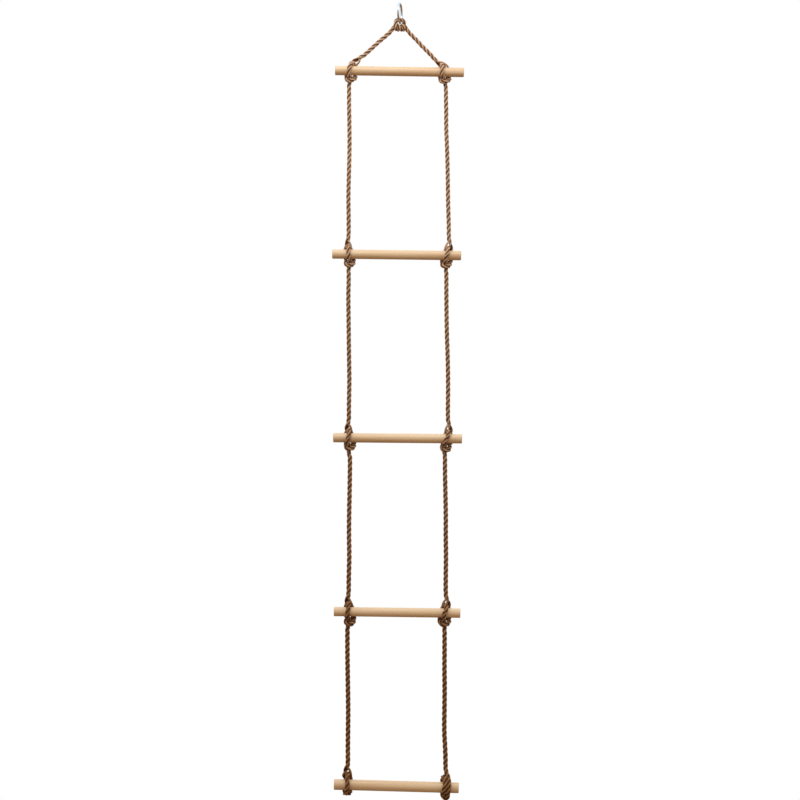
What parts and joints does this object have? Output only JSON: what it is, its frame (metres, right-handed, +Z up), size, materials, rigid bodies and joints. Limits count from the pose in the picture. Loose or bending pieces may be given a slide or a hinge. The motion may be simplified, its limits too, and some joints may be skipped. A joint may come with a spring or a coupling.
{
  "type": "rope ladder",
  "caption": "Hanging rope ladder: one laid rope knotted round a steel ring at the top and hitched round the ends of plain round wooden rungs down both sides.",
  "frame": {"origin": "inside of the top of the ring, where a hook bears", "axes": "+X along the rungs to the right, +Y away from the climber, +Z up towards the hook"},
  "size_m": [0.307, 0.0492, 1.8666],
  "materials": {
    "steel": "smooth, lightly worn zinc-bright wire",
    "rope": "dull natural-fibre three-strand laid rope",
    "wood": "bare pale sanded dowel"
  },
  "bodies": {
    "ring": {"hanging_ring": "steel"},
    "head": {"head_knot": "rope"},
    "bridle": {"bridle_leg_left": "rope", "bridle_leg_right": "rope"},
    "rung_1": {"rung_1": "wood", "hitch_1_left": "rope", "hitch_1_right": "rope"},
    "bay_1": {"side_rope_1_left": "rope", "side_rope_1_right": "rope"},
    "rung_2": {"rung_2": "wood", "hitch_2_left": "rope", "hitch_2_right": "rope"},
    "bay_2": {"side_rope_2_left": "rope", "side_rope_2_right": "rope"},
    "rung_3": {"rung_3": "wood", "hitch_3_left": "rope", "hitch_3_right": "rope"},
    "bay_3": {"side_rope_3_left": "rope", "side_rope_3_right": "rope"},
    "rung_4": {"rung_4": "wood", "hitch_4_left": "rope", "hitch_4_right": "rope"},
    "bay_4": {"side_rope_4_left": "rope", "side_rope_4_right": "rope"},
    "rung_5": {"rung_5": "wood", "hitch_5_left": "rope", "hitch_5_right": "rope"}
  },
  "joints": [
    {"name": "ring_swing", "type": "hinge", "parent": "ring", "child": "head", "pos_m": [0, 0, -0.0425], "axis": [0.1822, 0.9833, 0], "range_deg": [-30, 30]},
    {"name": "head_fold", "type": "hinge", "parent": "head", "child": "bridle", "pos_m": [-0.0283, 0, -0.069], "axis": [1, 0, 0], "range_deg": [-45, 45]},
    {"name": "rung_1_fold", "type": "hinge", "parent": "bridle", "child": "rung_1", "pos_m": [-0.07347, 0, -0.10884], "axis": [1, 0, 0.0017], "range_deg": [-25, 25]},
    {"name": "bay_1_fold", "type": "hinge", "parent": "rung_1", "child": "bay_1", "pos_m": [-0.11836, 0, -0.2099], "axis": [0.9999, 0, -0.0155], "range_deg": [-40, 40]},
    {"name": "rung_2_fold", "type": "hinge", "parent": "bay_1", "child": "rung_2", "pos_m": [-0.1193, 0, -0.52145], "axis": [0.9999, 0, -0.013], "range_deg": [-30, 30]},
    {"name": "bay_2_fold", "type": "hinge", "parent": "rung_2", "child": "bay_2", "pos_m": [-0.1193, 0, -0.63745], "axis": [0.9999, 0, -0.0133], "range_deg": [-40, 40]},
    {"name": "rung_3_fold", "type": "hinge", "parent": "bay_2", "child": "rung_3", "pos_m": [-0.11883, 0, -0.94924], "axis": [1, 0, -0.0091], "range_deg": [-30, 30]},
    {"name": "bay_3_fold", "type": "hinge", "parent": "rung_3", "child": "bay_3", "pos_m": [-0.11633, 0, -1.06524], "axis": [1, 0, -0.0095], "range_deg": [-40, 40]},
    {"name": "rung_4_fold", "type": "hinge", "parent": "bay_3", "child": "rung_4", "pos_m": [-0.1193, 0, -1.35443], "axis": [0.9999, 0, -0.0134], "range_deg": [-30, 30]},
    {"name": "bay_4_fold", "type": "hinge", "parent": "rung_4", "child": "bay_4", "pos_m": [-0.1223, 0, -1.47043], "axis": [0.9999, 0, -0.0134], "range_deg": [-40, 40]},
    {"name": "rung_5_fold", "type": "hinge", "parent": "bay_4", "child": "rung_5", "pos_m": [-0.12116, 0, -1.75775], "axis": [0.9996, 0, -0.0276], "range_deg": [-30, 30]}
  ]
}
